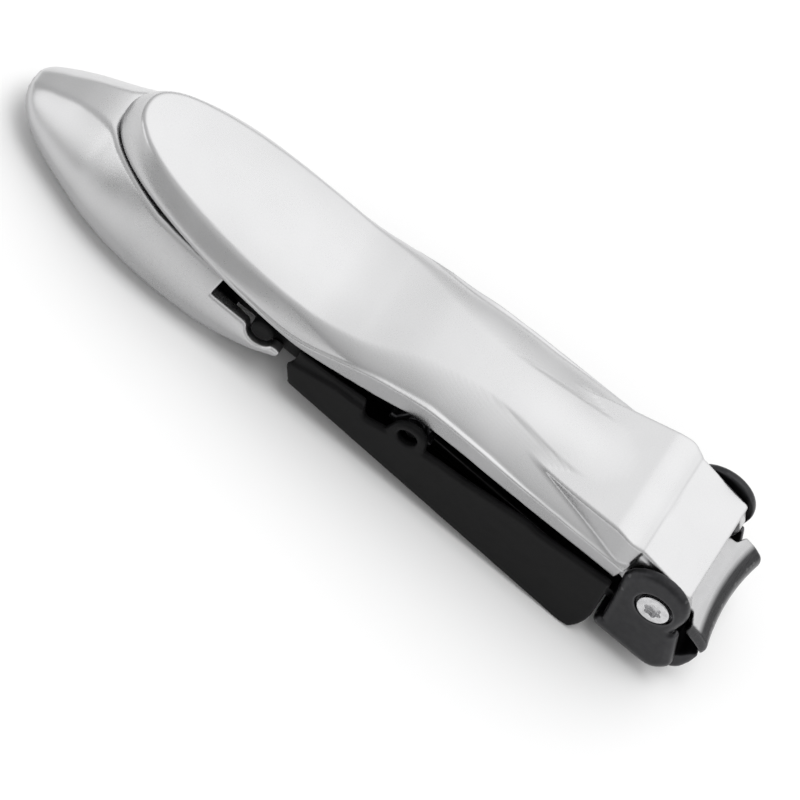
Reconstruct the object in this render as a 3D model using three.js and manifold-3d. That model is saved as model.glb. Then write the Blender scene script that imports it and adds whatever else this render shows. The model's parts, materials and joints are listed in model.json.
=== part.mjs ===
// Lever nail clipper with a swing-down clippings catcher.
// Millimetres, +Z up, +X from the tail to the cutting edges. The clipper is closed, its lever down.
// The pieces are drawn square to the yoke. The whole clipper then leans by LIE_ANGLE, because it
// lies on the belly of its tail and on the front edge of its catcher.
// Origin: middle of the footprint, on the surface that the clipper lies on.
import * as THREE from 'three';
import { ConvexGeometry } from 'three/addons/geometries/ConvexGeometry.js';
import { mergeVertices } from 'three/addons/utils/BufferGeometryUtils.js';
import Module from 'manifold-3d';

const wasm = await Module();
wasm.setup();

// Driving dimensions
const TAIL_TIP_X = -47.6;            // rear end of the whole clipper
const EDGE_X = 47.2;                 // front of the cutting edges at their corners
const BELLY = { x: -24, drop: 2.0 }; // lowest part of the tail, below the catcher's front edge
const FRONT_REST_X = 34;             // front edge of the catcher, at height 0
const GAP = 0.3;                     // clearance between pieces that touch
const PIN_GAP = 0.15;                // clearance round pins and screws

const PIVOT = { x: 39.25, z: 12.1 }; // lever pivot, across the yoke
const LEVER_REAR_X = -38.2;
const NOSE_HALF_WIDTH = 7.45;
const CHEEK_INNER = 5.9;
const CHEEK_RADIUS = 3.3;
const CAM = { x: 34.25, z: 12.5, radius: 1.0 };

const EAR_OUTER = 9.0;
const EAR_THICKNESS = 1.2;
const EAR_DOME = { x: 38.5, z: 12.8, radius: 4.3 };
const YOKE_BOTTOM_Z = 2.0;
const YOKE_FLOOR = 1.2;
const SCREW_HEAD_RADIUS = 1.95;
const SCREW_SHANK_RADIUS = 1.2;

const ARM_THICKNESS = 1.4;
const ARM_REAR_X = -22.5;
const ARM_HALF_WIDTH = 5.5;
const ARM_REAR_HALF_WIDTH = 4.6;
const LOWER_ARM = { rearZ: 5.0, frontX: 42.5, frontZ: 3.5 };  // height of its underside
const UPPER_ARM = { rearZ: 6.7, frontX: 41.0, frontZ: 10.3 }; // height of its underside
const JAW_HALF_WIDTH = 6.9;
const JAW_SAGITTA = 1.2;             // hollow of the cutting edges, seen from above
const ARM_RIVETS_X = { front: -14, rear: -20 };
const RIVET_RADIUS = 1.1;
const RIVET_HEAD_RADIUS = 1.9;
const YOKE_RIVET = { x: 39.5, y: 3.2 };

const TAIL_FRONT_X = -9.0;
const TAIL_WALL = 1.5;
const TAIL_FLOOR_FRONT_X = -15;
const ANCHOR_SCREW = { x: -25.5, y: 3, radius: 0.85 };
const HINGE = { x: -12, z: 5.7 };    // catcher hinge, across the tail
const HINGE_PIN_RADIUS = 0.75;
const PIN_END = 8.7;
const PIN_HOLE_END = 8.9;            // the lug's boss is closed outside the pin
const LUG = { inner: 6.9, outer: 8.0, radius: 1.5, bossEnd: 9.3 };

const CATCHER_OUTER = 9.6;
const CATCHER_WALL = 0.85;
const CATCHER_FLOOR = 1.1;
const SNAP = { x: 7.2, z: 8.2, hole: 1.2, ring: 2.2 };

const SLOPE = BELLY.drop / (FRONT_REST_X - BELLY.x);
const LIE_ANGLE = Math.atan(SLOPE);
const restZ = (x) => (x - FRONT_REST_X) * SLOPE; // height of the table under the square drawing

// Finishes
const PEARL = { color: 0xd9d9dc, roughness: 0.35, metalness: 0.9 };
const BLACK_PLASTIC = { color: 0x1a1a1b, roughness: 0.45, metalness: 0.0 };
const BLACK_STEEL = { color: 0x2c2c2f, roughness: 0.3, metalness: 0.8 };
const BRIGHT_STEEL = { color: 0xb8b8bc, roughness: 0.25, metalness: 1.0 };

// --- solids ---------------------------------------------------------------------------------

function toSolid(geometry) {
  const merged = mergeVertices(bare(geometry.index ? geometry.toNonIndexed() : geometry.clone()), 1e-4);
  const vertProperties = new Float32Array(merged.attributes.position.array);
  const triVerts = new Uint32Array(merged.index.array);
  return new wasm.Manifold(new wasm.Mesh({ numProp: 3, vertProperties, triVerts }));
}

function toGeometry(solid) {
  const mesh = solid.getMesh();
  const geometry = new THREE.BufferGeometry();
  geometry.setAttribute('position', new THREE.BufferAttribute(new Float32Array(mesh.vertProperties), 3));
  geometry.setIndex(new THREE.BufferAttribute(new Uint32Array(mesh.triVerts), 1));
  return geometry;
}

function piece(name, solid, finish) {
  const mesh = new THREE.Mesh(toGeometry(solid), new THREE.MeshStandardMaterial(finish));
  mesh.name = name;
  return mesh;
}

// A closed skin over rings of points, each ring going the same way round, from first to last.
function loft(rings) {
  const count = rings[0].length;
  const positions = rings.flat().flatMap((point) => [point.x, point.y, point.z]);
  const index = [];
  for (let i = 0; i < rings.length - 1; i += 1) {
    for (let j = 0; j < count; j += 1) {
      const a = i * count + j;
      const b = i * count + ((j + 1) % count);
      index.push(a, a + count, b, b, a + count, b + count);
    }
  }
  const last = (rings.length - 1) * count;
  for (const [start, ring] of [[0, rings[0]], [last, rings.at(-1)]]) {
    const middle = ring.reduce((sum, point) => sum.add(point), new THREE.Vector3()).divideScalar(count);
    const centre = positions.length / 3;
    positions.push(middle.x, middle.y, middle.z);
    for (let j = 0; j < count; j += 1) {
      const [a, b] = [start + j, start + ((j + 1) % count)];
      index.push(centre, start === 0 ? a : b, start === 0 ? b : a);
    }
  }
  const geometry = new THREE.BufferGeometry();
  geometry.setAttribute('position', new THREE.Float32BufferAttribute(positions, 3));
  geometry.setIndex(index);
  return outward(geometry);
}

// Turns a closed mesh's faces over if they point inwards.
function outward(geometry) {
  const position = geometry.attributes.position;
  const index = geometry.index.array;
  const [a, b, c] = [new THREE.Vector3(), new THREE.Vector3(), new THREE.Vector3()];
  let volume = 0;
  for (let i = 0; i < index.length; i += 3) {
    a.fromBufferAttribute(position, index[i]);
    b.fromBufferAttribute(position, index[i + 1]);
    c.fromBufferAttribute(position, index[i + 2]);
    volume += a.dot(b.cross(c));
  }
  if (volume < 0) {
    for (let i = 0; i < index.length; i += 3) {
      [index[i], index[i + 1]] = [index[i + 1], index[i]];
    }
  }
  return geometry;
}

function shapeOf(points) {
  return new THREE.Shape(points.map(([x, y]) => new THREE.Vector2(x, y)));
}

// A side outline in X and Z, made solid from y0 to y1.
function sidePlate(shape, y0, y1) {
  const settings = { depth: y1 - y0, bevelEnabled: false, curveSegments: 8 };
  const geometry = new THREE.ExtrudeGeometry(shape, settings);
  return toSolid(geometry.rotateX(Math.PI / 2).translate(0, y1, 0));
}

// A plan outline in X and Y, made solid from z0 to z1.
function planPlate(shape, z0, z1) {
  const settings = { depth: z1 - z0, bevelEnabled: false, curveSegments: 8 };
  return toSolid(new THREE.ExtrudeGeometry(shape, settings).translate(0, 0, z0));
}

function box(x0, x1, y0, y1, z0, z1) {
  const geometry = new THREE.BoxGeometry(x1 - x0, y1 - y0, z1 - z0);
  return toSolid(geometry.translate((x0 + x1) / 2, (y0 + y1) / 2, (z0 + z1) / 2));
}

function pinY(x, z, radius, y0, y1, sides = 24) {
  const geometry = new THREE.CylinderGeometry(radius, radius, y1 - y0, sides);
  return toSolid(geometry.translate(x, (y0 + y1) / 2, z));
}

// A round solid about a vertical line, from a profile of radius and height.
function turnedZ(x, y, profile, sides = 20) {
  const points = profile.map(([radius, height]) => new THREE.Vector2(radius, height));
  const lathe = new THREE.LatheGeometry(points, sides).rotateX(Math.PI / 2).translate(x, y, 0);
  return toSolid(outward(mergeVertices(bare(lathe), 1e-4)));
}

// A round upright bar, for holes and shanks.
function pinZ(x, y, radius, z0, z1) {
  return turnedZ(x, y, [[0, z0], [radius, z0], [radius, z1], [0, z1]]);
}

function bare(geometry) {
  geometry.deleteAttribute('normal');
  geometry.deleteAttribute('uv');
  return geometry;
}

// Both sides of a symmetric pair.
function bothSides(make) {
  return make(1).add(make(-1));
}

function span(side, inner, outer) {
  return side > 0 ? [inner, outer] : [-outer, -inner];
}

// Smooth curve through [x, value] points, level at both ends.
function through(points) {
  return (x) => {
    const last = points.length - 1;
    if (x <= points[0][0]) return points[0][1];
    if (x >= points[last][0]) return points[last][1];
    const i = points.findIndex(([px]) => px > x) - 1;
    const slope = (k) => {
      if (k <= 0 || k >= last) return 0;
      return (points[k + 1][1] - points[k - 1][1]) / (points[k + 1][0] - points[k - 1][0]);
    };
    const width = points[i + 1][0] - points[i][0];
    const t = (x - points[i][0]) / width;
    const [y0, y1] = [points[i][1], points[i + 1][1]];
    return (2 * t ** 3 - 3 * t ** 2 + 1) * y0 + (t ** 3 - 2 * t ** 2 + t) * width * slope(i)
      + (-2 * t ** 3 + 3 * t ** 2) * y1 + (t ** 3 - t ** 2) * width * slope(i + 1);
  };
}

function mirrorRing(half) {
  const far = half.slice().reverse().filter((point) => Math.abs(point.y) > 1e-6);
  return half.concat(far.map((point) => new THREE.Vector3(point.x, -point.y, point.z)));
}

// --- lever ----------------------------------------------------------------------------------

const LEVER_OVAL_X = -12;            // widest place of the thumb pad
const LEVER_FRONT_X = 34.0;
const ovalShare = (t, power) => (1 - t ** power) ** (1 / power);
const leverRimWidth = through([
  [-12, 9.25], [-5, 9.15], [0, 8.8], [4, 8.55], [9, 8.55], [20, 8.8], [34, 8.9],
]);
const leverRimZ = through([
  [-38, 8.7], [-27, 8.7], [-18, 8.1], [-9, 7.6], [-4, 8.3], [2, 9.3], [7, 10.6], [20, 11.3], [34, 11.8],
]);
const leverRimHeight = through([[-12, 0.7], [0, 2.9], [6, 2.7], [34, 2.1]]);
const leverTopWidth = through([[-12, 7.6], [-4, 7.7], [3, 6.9], [14, 6.0], [34, 6.2]]);
const leverTopZ = through([
  [-38, 12.0], [-30, 11.6], [-10, 11.3], [-4, 12.2], [3, 13.8], [10, 14.8], [20, 15.1], [34, 15.6],
]);
const leverCrown = through([[-38, 0.3], [-20, 0.8], [-5, 0.6], [14, 0.5], [34, 0.8]]);

// Station u runs from the rear end (0) round the oval pad (1) and on to the front (2).
function leverStation(u, inset, rise) {
  const round = u < 1;
  const across = round ? Math.sin((Math.PI / 2) * (0.07 + 0.93 * u)) : 1;
  const along = round ? Math.cos((Math.PI / 2) * (0.07 + 0.93 * u)) : 0;
  const reach = LEVER_OVAL_X - LEVER_REAR_X;
  const place = (shrink) => (round
    ? LEVER_OVAL_X - (reach - shrink) * along
    : LEVER_OVAL_X + (u - 1) * (LEVER_FRONT_X - LEVER_OVAL_X));
  const rimX = place(inset);
  const topX = place(inset + 0.9);
  const roundness = ovalShare(along, 2.3) / Math.max(across, 1e-6);
  const rimY = (leverRimWidth(rimX) - inset) * across * roundness;
  const topY = (leverTopWidth(topX) - inset) * across * roundness;
  const rimZ = leverRimZ(rimX) - rise;
  const rimTopZ = leverRimZ(rimX) + leverRimHeight(rimX);
  const topZ = leverTopZ(topX) - inset;
  const crownZ = topZ + leverCrown(topX);
  return mirrorRing([
    new THREE.Vector3(rimX, 0, rimZ),
    new THREE.Vector3(rimX, rimY, rimZ),
    new THREE.Vector3(rimX, rimY, Math.min(rimTopZ, topZ - 0.6)),
    new THREE.Vector3(rimX, Math.max(rimY - 0.3, 0.1), Math.min(rimTopZ + 0.15, topZ - 0.45)),
    new THREE.Vector3(topX, 0.45 * rimY + 0.55 * topY, topZ - 0.45 * (topZ - rimTopZ) * 0.6),
    new THREE.Vector3(topX, topY, topZ),
    new THREE.Vector3(topX, 0.55 * topY, topZ + 0.75 * (crownZ - topZ)),
    new THREE.Vector3(topX, 0, crownZ),
  ]);
}

function leverLoft(steps, inset, rise) {
  const rings = [];
  for (let i = 0; i <= steps; i += 1) rings.push(leverStation((2 * i) / steps, inset, rise));
  return toSolid(loft(rings));
}

// The raised block in front of the thumb pad, with a wedge facet on each side.
function leverBlock() {
  const corners = [
    [20.4, 6.1, 15.6], [20.4, 5.8, 12.4], [32.1, 8.0, 18.0],
    [34.0, 7.5, 17.0], [34.0, 8.5, 12.6], [31.0, 8.45, 13.4],
  ];
  const points = corners.flatMap(([x, y, z]) => [new THREE.Vector3(x, y, z), new THREE.Vector3(x, -y, z)]);
  return toSolid(new ConvexGeometry(points));
}

// The nose between the yoke's ears: a sloping top plate and a cheek down each side.
function leverNose() {
  const top = shapeOf([[31, 17.2], [34.1, 17.0], [41.4, 15.6], [41.4, 14.9], [38, 14.9], [31, 15.2]]);
  const cheek = new THREE.Shape();
  cheek.moveTo(30.5, 16.4);
  cheek.lineTo(30.5, 11.6);
  cheek.lineTo(34.3, 10.9);
  cheek.lineTo(PIVOT.x - 2.6, PIVOT.z - 2.05);
  cheek.absarc(PIVOT.x, PIVOT.z, CHEEK_RADIUS, Math.PI + 0.67, 2 * Math.PI + 0.35, false);
  cheek.lineTo(41.2, 15.2);
  const cheeks = bothSides((side) => sidePlate(cheek, ...span(side, CHEEK_INNER, NOSE_HALF_WIDTH)));
  return sidePlate(top, -NOSE_HALF_WIDTH, NOSE_HALF_WIDTH).add(cheeks);
}

function leverHollow() {
  const pad = leverLoft(24, 1.7, 3).subtract(box(29, 36, -12, 12, 0, 20));
  const tunnelShape = shapeOf([[20, 4], [43, 4], [43, 13.9], [37, 14.1], [33, 14.6], [20, 13.4]]);
  return pad.add(sidePlate(tunnelShape, -CHEEK_INNER, CHEEK_INNER));
}

function lever() {
  const earSweep = bothSides((side) => (
    pinY(PIVOT.x, PIVOT.z, 5.55, ...span(side, NOSE_HALF_WIDTH, 12), 48)
  ));
  const body = leverLoft(44, 0, 0).add(leverBlock()).subtract(earSweep).add(leverNose());
  return body
    .subtract(leverHollow())
    .subtract(pinY(PIVOT.x, PIVOT.z, SCREW_SHANK_RADIUS + PIN_GAP, -12, 12))
    .subtract(pinY(CAM.x, CAM.z, CAM.radius + PIN_GAP, -7.0, 7.0));
}

function leverCamPin() {
  return pinY(CAM.x, CAM.z, CAM.radius, -6.8, 6.8, 20);
}

// --- yoke and pivot ---------------------------------------------------------------------------

function earShape() {
  const shape = new THREE.Shape();
  shape.moveTo(36.3, YOKE_BOTTOM_Z);
  shape.lineTo(42.6, YOKE_BOTTOM_Z);
  shape.quadraticCurveTo(43.6, YOKE_BOTTOM_Z, 44.2, 2.8);
  shape.lineTo(45.3, 4.3);
  shape.quadraticCurveTo(45.9, 5.1, 45.6, 5.9);
  shape.lineTo(44.2, 9.0);
  shape.quadraticCurveTo(43.1, 11.4, EAR_DOME.x + EAR_DOME.radius, EAR_DOME.z);
  shape.absarc(EAR_DOME.x, EAR_DOME.z, EAR_DOME.radius, 0, Math.PI, false);
  shape.lineTo(34.6, 11.4);
  shape.lineTo(36.0, 4.3);
  return shape;
}

function jawYoke() {
  const inner = EAR_OUTER - EAR_THICKNESS;
  const ears = bothSides((side) => sidePlate(earShape(), ...span(side, inner, EAR_OUTER)));
  const floor = box(36.4, 43.0, -inner - 0.2, inner + 0.2, YOKE_BOTTOM_Z, YOKE_BOTTOM_Z + YOKE_FLOOR);
  const recess = bothSides((side) => (
    pinY(PIVOT.x, PIVOT.z, SCREW_HEAD_RADIUS + 0.3, ...span(side, EAR_OUTER - 0.5, EAR_OUTER + 1))
  ));
  let yoke = ears.add(floor).subtract(recess);
  yoke = yoke.subtract(pinY(PIVOT.x, PIVOT.z, SCREW_SHANK_RADIUS + 0.2, -12, 12));
  for (const y of [-YOKE_RIVET.y, YOKE_RIVET.y]) {
    yoke = yoke.subtract(pinZ(YOKE_RIVET.x, y, RIVET_RADIUS, 0, 4));
  }
  return yoke;
}

function pivotScrew(side) {
  const headReach = span(side, EAR_OUTER - 0.35, EAR_OUTER + 0.25);
  const head = pinY(PIVOT.x, PIVOT.z, SCREW_HEAD_RADIUS, ...headReach, 28);
  const shank = pinY(PIVOT.x, PIVOT.z, SCREW_SHANK_RADIUS, ...span(side, 6.1, EAR_OUTER - 0.2));
  const socket = pinY(PIVOT.x, PIVOT.z, 0.95, ...span(side, EAR_OUTER - 0.3, EAR_OUTER + 1), 6);
  return head.add(shank).subtract(socket);
}

function yokeRivet(y) {
  const shank = RIVET_RADIUS - PIN_GAP;
  const under = armZ(LOWER_ARM, YOKE_RIVET.x) + ARM_THICKNESS + 0.2;
  return turnedZ(YOKE_RIVET.x, y, [
    [0, YOKE_BOTTOM_Z - 0.1], [shank, YOKE_BOTTOM_Z - 0.1], [shank, under],
    [RIVET_HEAD_RADIUS - 0.3, under], [RIVET_HEAD_RADIUS - 0.5, under + 0.5], [0, under + 0.7],
  ]);
}

// --- spring arms and jaws -----------------------------------------------------------------------

function armZ(arm, x) {
  return arm.rearZ + ((x - ARM_REAR_X) * (arm.frontZ - arm.rearZ)) / (arm.frontX - ARM_REAR_X);
}

// A flat strip, narrower where the tail grips it.
function armStrip(arm) {
  const side = sidePlate(shapeOf([
    [ARM_REAR_X, armZ(arm, ARM_REAR_X)], [arm.frontX, armZ(arm, arm.frontX)],
    [arm.frontX, armZ(arm, arm.frontX) + ARM_THICKNESS], [ARM_REAR_X, armZ(arm, ARM_REAR_X) + ARM_THICKNESS],
  ]), -9, 9);
  const halfPlan = [
    [-24, ARM_REAR_HALF_WIDTH], [-8.5, ARM_REAR_HALF_WIDTH], [-7.5, ARM_HALF_WIDTH], [60, ARM_HALF_WIDTH],
  ];
  const plan = halfPlan.concat(halfPlan.slice().reverse().map(([x, y]) => [x, -y]));
  return side.intersect(planPlate(shapeOf(plan), 0, 20));
}

// A jaw head: an outline in X and Z whose front half is hollowed back towards the middle.
function jawHead(outline) {
  const rings = [];
  const steps = 12;
  for (let i = 0; i <= steps; i += 1) {
    const share = (2 * i) / steps - 1;
    rings.push(outline.map(([x, z, follow]) => new THREE.Vector3(
      x - follow * JAW_SAGITTA * (1 - share * share), share * JAW_HALF_WIDTH, z,
    )));
  }
  return toSolid(outward(loftAcross(rings)));
}

function loftAcross(rings) {
  const turned = rings.map((ring) => ring.map((point) => new THREE.Vector3(point.y, point.x, point.z)));
  const geometry = loft(turned);
  const position = geometry.attributes.position;
  for (let i = 0; i < position.count; i += 1) {
    position.setXYZ(i, position.getY(i), position.getX(i), position.getZ(i));
  }
  return geometry;
}

function upperJaw() {
  const z = armZ(UPPER_ARM, 40.4) + 0.1;
  const head = jawHead([
    [40.4, z, 0], [43.2, 10.1, 0.2], [44.9, 9.4, 0.7], [46.3, 8.9, 1], [47.2, 8.2, 1],
    [EDGE_X, 9.6, 1], [46.7, 10.7, 1], [45.4, 11.4, 0.8], [43.6, 11.75, 0.3],
    [40.4, z + ARM_THICKNESS - 0.2, 0],
  ]);
  const shoulders = bothSides((side) => box(40, 43.2, ...span(side, ARM_HALF_WIDTH, 9), 5, 14));
  let jaw = armStrip(UPPER_ARM).add(head.subtract(shoulders));
  for (const x of Object.values(ARM_RIVETS_X)) {
    jaw = jaw.subtract(pinZ(x, 0, RIVET_RADIUS + GAP, 4, 11));
  }
  return jaw;
}

function lowerJaw() {
  const z = armZ(LOWER_ARM, 41.9) + 0.1;
  const head = jawHead([
    [41.9, z, 0], [44.6, 2.8, 0.4], [46.2, 2.9, 0.9], [46.9, 4.0, 1], [47.25, 6.0, 1], [47.15, 7.9, 1],
    [46.4, 7.3, 1], [45.7, 5.8, 0.9], [44.7, 4.9, 0.6], [41.9, z + ARM_THICKNESS - 0.2, 0],
  ]);
  const shoulders = bothSides((side) => box(40, 43.6, ...span(side, ARM_HALF_WIDTH, 9), 0, 14));
  let jaw = armStrip(LOWER_ARM).add(head.subtract(shoulders));
  for (const x of Object.values(ARM_RIVETS_X)) {
    jaw = jaw.subtract(pinZ(x, 0, RIVET_RADIUS + PIN_GAP, 2, 9));
  }
  for (const y of [-YOKE_RIVET.y, YOKE_RIVET.y]) {
    jaw = jaw.subtract(pinZ(YOKE_RIVET.x, y, RIVET_RADIUS, 1, 8));
  }
  return jaw.subtract(pinZ(SNAP.x, 0, RIVET_RADIUS, 1, 8));
}

function armRivet(x) {
  const top = armZ(UPPER_ARM, x) + ARM_THICKNESS + 0.25;
  return turnedZ(x, 0, [
    [0, 3.2], [RIVET_RADIUS, 3.2], [RIVET_RADIUS, top], [RIVET_HEAD_RADIUS, top],
    [RIVET_HEAD_RADIUS - 0.3, top + 0.5], [0, top + 0.65],
  ]);
}

// --- tail -----------------------------------------------------------------------------------

const tailHalfWidth = through([
  [-47.6, 1.6], [-46.6, 2.9], [-45, 4.3], [-42, 5.9], [-38, 7.6], [-34.8, 8.8],
  [-31, 9.7], [-27, 10.25], [-22, 10.4], [-16, 10.2], [-9, 9.85],
]);
const tailTopHalfWidth = through([
  [-47.6, 1.1], [-42, 1.8], [-38.6, 2.75], [-36.5, 4.4], [-34, 5.9], [-31, 7.3], [-27, 8.5],
  [-22, 9.3], [-9, 9.6],
]);
const tailTopZ = through([
  [-47.6, 2.6], [-45, 4.9], [-42, 6.9], [-38.6, 8.2], [-36, 8.3], [-27, 8.2], [-18, 7.7], [-9, 7.2],
]);
const tailKeel = through([
  [-47.6, 1.6], [-46.6, 0.6], [-45, -0.2], [-42, -1.0], [-38, -1.6], [-34, -2.0], [-30, restZ(-30)],
  [-19, restZ(-19)], [-17, -1.55], [-14.5, -0.7], [-12.2, 0.5], [-10.2, 1.9], [-9, 3.1],
]);
const tailBottomZ = (x) => Math.max(tailKeel(x), restZ(x)); // flat where it lies
const tailMidZ = through([
  [-47.6, 2.1], [-45, 1.4], [-38, 1.6], [-31, 2.0], [-20, 2.2], [-12, 3.6], [-9, 5.0],
]);

function tailStation(x) {
  const [w, topW, topZ, bottomZ, midZ] = [
    tailHalfWidth(x), tailTopHalfWidth(x), tailTopZ(x), tailBottomZ(x), tailMidZ(x),
  ];
  const half = [
    new THREE.Vector3(x, 0, topZ),
    new THREE.Vector3(x, topW, topZ),
    new THREE.Vector3(x, topW + 0.72 * (w - topW), midZ + 0.45 * (topZ - midZ)),
  ];
  const quarter = 5;
  for (let i = 0; i < quarter; i += 1) {
    const angle = (Math.PI / 2) * (i / quarter);
    half.push(new THREE.Vector3(
      x, w * Math.cos(angle) ** 0.7, midZ - (midZ - bottomZ) * Math.sin(angle) ** 0.7,
    ));
  }
  half.push(new THREE.Vector3(x, 0.35 * w, bottomZ), new THREE.Vector3(x, 0, bottomZ));
  return mirrorRing(half);
}

function tailOuter() {
  const rings = [];
  const steps = 34;
  for (let i = 0; i <= steps; i += 1) {
    const share = i / steps;
    rings.push(tailStation(TAIL_TIP_X + (TAIL_FRONT_X - TAIL_TIP_X) * share ** 1.25));
  }
  return toSolid(loft(rings));
}

function tailHollow() {
  const rings = [];
  const steps = 12;
  for (let i = 0; i <= steps; i += 1) {
    const x = -36 + (27.5 * i) / steps;
    const w = Math.min(tailTopHalfWidth(x) - TAIL_WALL + 0.1, 8.2);
    const floor = tailBottomZ(x) + TAIL_WALL;
    const rise = Math.min(2.6, 0.45 * w);
    rings.push(mirrorRing([
      new THREE.Vector3(x, 0, 14),
      new THREE.Vector3(x, w, 14),
      new THREE.Vector3(x, w, floor + rise),
      new THREE.Vector3(x, w - rise, floor),
      new THREE.Vector3(x, 0, floor),
    ]));
  }
  return toSolid(loft(rings)).add(box(TAIL_FLOOR_FRONT_X, -8, -8.2, 8.2, -3, 14));
}

// Slot in each side for the catcher's hinge lug, open to the front, dipping round the hinge boss.
function tailSlots() {
  return bothSides((side) => {
    const [y0, y1] = span(side, 7, 12);
    return box(-18.8, -8, y0, y1, 5.3, 12).add(pinY(HINGE.x, HINGE.z + 0.2, 1.85, y0, y1));
  });
}

function tailShell() {
  let tail = tailOuter().subtract(tailHollow()).subtract(tailSlots());
  for (const y of [-ANCHOR_SCREW.y, ANCHOR_SCREW.y]) {
    tail = tail.subtract(pinZ(ANCHOR_SCREW.x, y, ANCHOR_SCREW.radius + PIN_GAP, -1.3, 4));
  }
  return tail;
}

// Block in the tail that grips both spring arms and carries the catcher's hinge pins.
function tailAnchor() {
  const foot = box(-27, -17.8, -4.8, 4.8, TAIL_WALL - BELLY.drop + GAP + 0.1, 3.9);
  const deck = box(-27, -10, -6.4, 6.4, 3.1, 4.7);
  const cheeks = bothSides((side) => box(-23.5, -9.8, ...span(side, 4.9, 6.4), 4.5, 7.9));
  let anchor = foot.add(deck).add(cheeks);
  anchor = anchor.subtract(pinY(HINGE.x, HINGE.z, HINGE_PIN_RADIUS + 0.1, -9, 9));
  for (const x of Object.values(ARM_RIVETS_X)) {
    anchor = anchor.subtract(pinZ(x, 0, RIVET_RADIUS + PIN_GAP, -3, 9));
  }
  for (const y of [-ANCHOR_SCREW.y, ANCHOR_SCREW.y]) {
    anchor = anchor.subtract(pinZ(ANCHOR_SCREW.x, y, ANCHOR_SCREW.radius + PIN_GAP, -3, 9));
  }
  return anchor;
}

function anchorScrew(y) {
  const shank = ANCHOR_SCREW.radius;
  return turnedZ(ANCHOR_SCREW.x, y, [
    [0, -1.0], [shank, -1.0], [shank, 4.9], [1.8, 4.9], [1.6, 5.6], [0, 5.8],
  ]);
}

// --- catcher ----------------------------------------------------------------------------------

function catcherShape() {
  const shape = new THREE.Shape();
  shape.moveTo(-6.4, 1.95);
  shape.lineTo(33.4, 0);
  shape.quadraticCurveTo(34.8, 0, 35.3, 1.6);
  shape.lineTo(35.5, 3.0);
  shape.lineTo(35.45, 4.3);
  shape.lineTo(34.0, 11.35);
  shape.lineTo(24.6, 10.0);
  shape.lineTo(23.2, 10.2);
  shape.lineTo(14.5, 8.5);
  shape.lineTo(10.1, 7.9);
  shape.absarc(SNAP.x, SNAP.z, SNAP.ring, Math.PI * 0.1, Math.PI, false);
  shape.lineTo(5.2, 6.8);
  shape.lineTo(2.7, 5.8);
  shape.lineTo(2.0, 6.4);
  shape.lineTo(1.2, 8.2);
  shape.lineTo(-3.5, 7.6);
  shape.lineTo(-8.6, 7.2);
  shape.lineTo(-8.6, 5.2);
  return shape;
}

// The recessed step along the upper edge of each wall, behind the snap ring.
function catcherRecess() {
  const shape = shapeOf([[-9.5, 5.4], [-6.6, 5.4], [-2.4, 6.8], [1.7, 7.1], [1.7, 9], [-9.5, 9]]);
  return bothSides((side) => sidePlate(shape, ...span(side, CATCHER_OUTER - 0.35, 12)));
}

function catcherLug(side) {
  const bar = new THREE.Shape();
  bar.moveTo(-5.6, 7.2);
  bar.lineTo(-5.6, 4.2);
  bar.lineTo(HINGE.x, HINGE.z - LUG.radius);
  bar.absarc(HINGE.x, HINGE.z, LUG.radius, -Math.PI / 2, -Math.PI * 1.5, true);
  const reach = sidePlate(bar, ...span(side, LUG.inner, LUG.outer));
  const boss = pinY(HINGE.x, HINGE.z, LUG.radius - 0.1, ...span(side, LUG.outer - 0.2, LUG.bossEnd));
  const jog = box(-7.0, -5.6, ...span(side, LUG.inner, CATCHER_OUTER - 0.4), 4.3, 7.1);
  return reach.add(boss).add(jog);
}

function catcher() {
  const inner = CATCHER_OUTER - CATCHER_WALL;
  const hollow = sidePlate(shapeOf([
    [-12, 1.95 + CATCHER_FLOOR + 0.27], [33.4, CATCHER_FLOOR], [37, CATCHER_FLOOR], [37, 16], [-12, 16],
  ]), -inner, inner);
  const walls = sidePlate(catcherShape(), -CATCHER_OUTER, CATCHER_OUTER).subtract(hollow);
  const tailSweep = bothSides((side) => pinY(HINGE.x, HINGE.z, 4.7, ...span(side, 8.2, 12), 40));
  return walls
    .subtract(catcherRecess())
    .subtract(tailSweep)
    .add(bothSides(catcherLug))
    .subtract(pinY(SNAP.x, SNAP.z, SNAP.hole, -12, 12))
    .subtract(pinY(HINGE.x, HINGE.z, HINGE_PIN_RADIUS + PIN_GAP, -PIN_HOLE_END, PIN_HOLE_END));
}

function hingePin(side) {
  return pinY(HINGE.x, HINGE.z, HINGE_PIN_RADIUS, ...span(side, 5.1, PIN_END), 20);
}

// Saddle on the lower arm whose pips hold the catcher's snap rings.
function catchBracket() {
  const top = armZ(LOWER_ARM, 4.4) + ARM_THICKNESS + GAP;
  const base = box(4.4, 10.0, -7.4, 7.4, top, top + 0.9);
  const wing = new THREE.Shape();
  wing.moveTo(4.6, top);
  wing.lineTo(9.8, top);
  wing.lineTo(8.9, SNAP.z + 0.6);
  wing.absarc(SNAP.x, SNAP.z, 1.7, 0.35, Math.PI - 0.35, false);
  const wings = bothSides((side) => sidePlate(wing, ...span(side, 6.2, 7.4)));
  const pips = bothSides((side) => pinY(SNAP.x, SNAP.z, 1.0, ...span(side, 7.2, 8.5), 16));
  return base.add(wings).add(pips)
    .subtract(pinZ(SNAP.x, 0, RIVET_RADIUS, 1, 12));
}

function bracketRivet() {
  const under = armZ(LOWER_ARM, SNAP.x) - 0.2;
  const top = armZ(LOWER_ARM, 4.4) + ARM_THICKNESS + GAP + 1.1;
  const shank = RIVET_RADIUS - PIN_GAP;
  return turnedZ(SNAP.x, 0, [
    [0, under], [shank, under], [shank, top], [RIVET_HEAD_RADIUS, top],
    [RIVET_HEAD_RADIUS - 0.3, top + 0.5], [0, top + 0.6],
  ]);
}

// --- assembly -----------------------------------------------------------------------------------

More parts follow.
